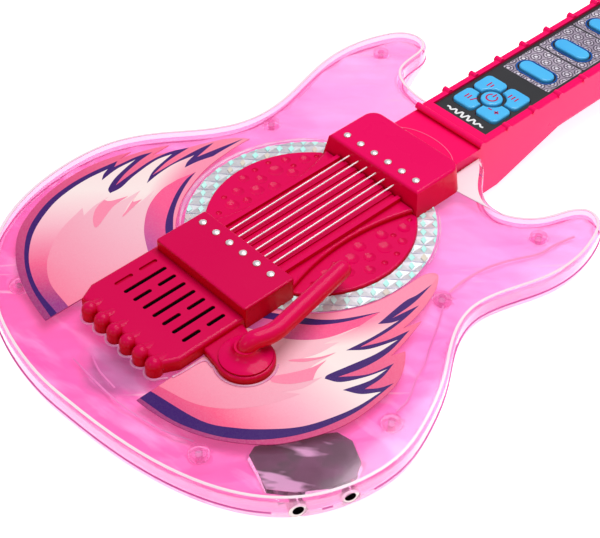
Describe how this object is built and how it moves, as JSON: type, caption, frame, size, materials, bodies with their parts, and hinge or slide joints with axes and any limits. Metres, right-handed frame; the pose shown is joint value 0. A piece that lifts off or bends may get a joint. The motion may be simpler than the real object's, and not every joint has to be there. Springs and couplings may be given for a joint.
{
  "type": "toy electric guitar",
  "caption": "Toy electric guitar: clear body with inner film, raised string deck, swivelling vibrato bar, keyed neck and two jack sockets.",
  "frame": {"origin": "on the flat back, under the centre of the round sound disc", "axes": "+Y along the neck to the head, +X to the vibrato bar side, +Z out of the front"},
  "size_m": [0.1794, 0.5162, 0.0384],
  "materials": {
    "clear_pink_shell": "clear pink injection-moulded plastic, glossy",
    "crinkle_film": "crinkled iridescent film",
    "printed_sticker": "printed gloss film",
    "prism_foil": "holographic prism foil",
    "crimson_plastic": "opaque crimson, satin gloss",
    "neck_pink_plastic": "opaque hot pink, satin gloss",
    "black_label": "printed label film",
    "blue_key": "sky blue key cap, gloss",
    "steel_wire": "bright steel wire",
    "bright_metal": "plated",
    "screw_steel": "zinc plated",
    "board_green": "solder mask over laminate",
    "black_plastic": "black moulding",
    "grey_plastic": "grey moulding",
    "pad_rubber": "silicone key sheet",
    "led_lens": "clear LED lens",
    "cone_paper": "coated paper cone",
    "cell_wrap": "plain cell wrapper",
    "nut_white": "white plastic"
  },
  "bodies": {
    "guitar": {"front_body_shell": "clear_pink_shell", "back_body_shell": "clear_pink_shell", "body_screws": "screw_steel", "crinkle_film": "crinkle_film", "left_wing_decal": "printed_sticker", "right_wing_decal": "printed_sticker", "prism_ring": "prism_foil", "sound_disc": "crimson_plastic", "string_deck": "crimson_plastic", "bridge_cover": "crimson_plastic", "neck_cover": "crimson_plastic", "strings": "steel_wire", "bridge_studs": "bright_metal", "neck_studs": "bright_metal", "neck_front_shell": "neck_pink_plastic", "neck_back_shell": "neck_pink_plastic", "neck_screws": "screw_steel", "control_label": "black_label", "key_pad": "pad_rubber", "neck_board": "board_green", "nut_bar": "nut_white", "tuner_pegs": "bright_metal", "string_posts": "bright_metal", "speaker_basket": "grey_plastic", "speaker_cone": "cone_paper", "speaker_magnet": "screw_steel", "jack_bushings": "bright_metal", "jack_bodies": "grey_plastic", "jack_board": "board_green", "main_board": "board_green", "body_leds": "led_lens", "circuit_chips": "black_plastic", "battery_door": "clear_pink_shell", "battery_door_screw": "screw_steel", "aa_cells": "cell_wrap", "battery_contacts": "bright_metal"},
    "vibrato_lever": {"vibrato_bar": "crimson_plastic", "vibrato_screw": "screw_steel"},
    "power_key_cap": {"power_key": "blue_key"},
    "mode_key_cap": {"mode_key": "blue_key"},
    "volume_key_cap": {"volume_key": "blue_key"},
    "song_key_1_cap": {"song_key_1": "blue_key"},
    "song_key_2_cap": {"song_key_2": "blue_key"},
    "note_key_1_cap": {"note_key_1": "blue_key"},
    "note_key_2_cap": {"note_key_2": "blue_key"},
    "note_key_3_cap": {"note_key_3": "blue_key"},
    "note_key_4_cap": {"note_key_4": "blue_key"},
    "note_key_5_cap": {"note_key_5": "blue_key"},
    "note_key_6_cap": {"note_key_6": "blue_key"},
    "note_key_7_cap": {"note_key_7": "blue_key"},
    "note_key_8_cap": {"note_key_8": "blue_key"}
  },
  "joints": [
    {"name": "vibrato_swivel", "type": "hinge", "parent": "guitar", "child": "vibrato_lever", "pos_m": [0.0344, -0.0603, 0.029], "axis": [0, 0, 1], "range_deg": [-40, 5]},
    {"name": "power_key_press", "type": "slide", "parent": "guitar", "child": "power_key_cap", "axis": [0, 0, -1], "range_m": [0, 0.0008], "stiffness_N_per_m": 400},
    {"name": "mode_key_press", "type": "slide", "parent": "guitar", "child": "mode_key_cap", "axis": [0, 0, -1], "range_m": [0, 0.0008], "stiffness_N_per_m": 400},
    {"name": "volume_key_press", "type": "slide", "parent": "guitar", "child": "volume_key_cap", "axis": [0, 0, -1], "range_m": [0, 0.0008], "stiffness_N_per_m": 400},
    {"name": "song_key_1_press", "type": "slide", "parent": "guitar", "child": "song_key_1_cap", "axis": [0, 0, -1], "range_m": [0, 0.0008], "stiffness_N_per_m": 400},
    {"name": "song_key_2_press", "type": "slide", "parent": "guitar", "child": "song_key_2_cap", "axis": [0, 0, -1], "range_m": [0, 0.0008], "stiffness_N_per_m": 400},
    {"name": "note_key_1_press", "type": "slide", "parent": "guitar", "child": "note_key_1_cap", "axis": [0, 0, -1], "range_m": [0, 0.0008], "stiffness_N_per_m": 400},
    {"name": "note_key_2_press", "type": "slide", "parent": "guitar", "child": "note_key_2_cap", "axis": [0, 0, -1], "range_m": [0, 0.0008], "stiffness_N_per_m": 400},
    {"name": "note_key_3_press", "type": "slide", "parent": "guitar", "child": "note_key_3_cap", "axis": [0, 0, -1], "range_m": [0, 0.0008], "stiffness_N_per_m": 400},
    {"name": "note_key_4_press", "type": "slide", "parent": "guitar", "child": "note_key_4_cap", "axis": [0, 0, -1], "range_m": [0, 0.0008], "stiffness_N_per_m": 400},
    {"name": "note_key_5_press", "type": "slide", "parent": "guitar", "child": "note_key_5_cap", "axis": [0, 0, -1], "range_m": [0, 0.0008], "stiffness_N_per_m": 400},
    {"name": "note_key_6_press", "type": "slide", "parent": "guitar", "child": "note_key_6_cap", "axis": [0, 0, -1], "range_m": [0, 0.0008], "stiffness_N_per_m": 400},
    {"name": "note_key_7_press", "type": "slide", "parent": "guitar", "child": "note_key_7_cap", "axis": [0, 0, -1], "range_m": [0, 0.0008], "stiffness_N_per_m": 400},
    {"name": "note_key_8_press", "type": "slide", "parent": "guitar", "child": "note_key_8_cap", "axis": [0, 0, -1], "range_m": [0, 0.0008], "stiffness_N_per_m": 400}
  ]
}
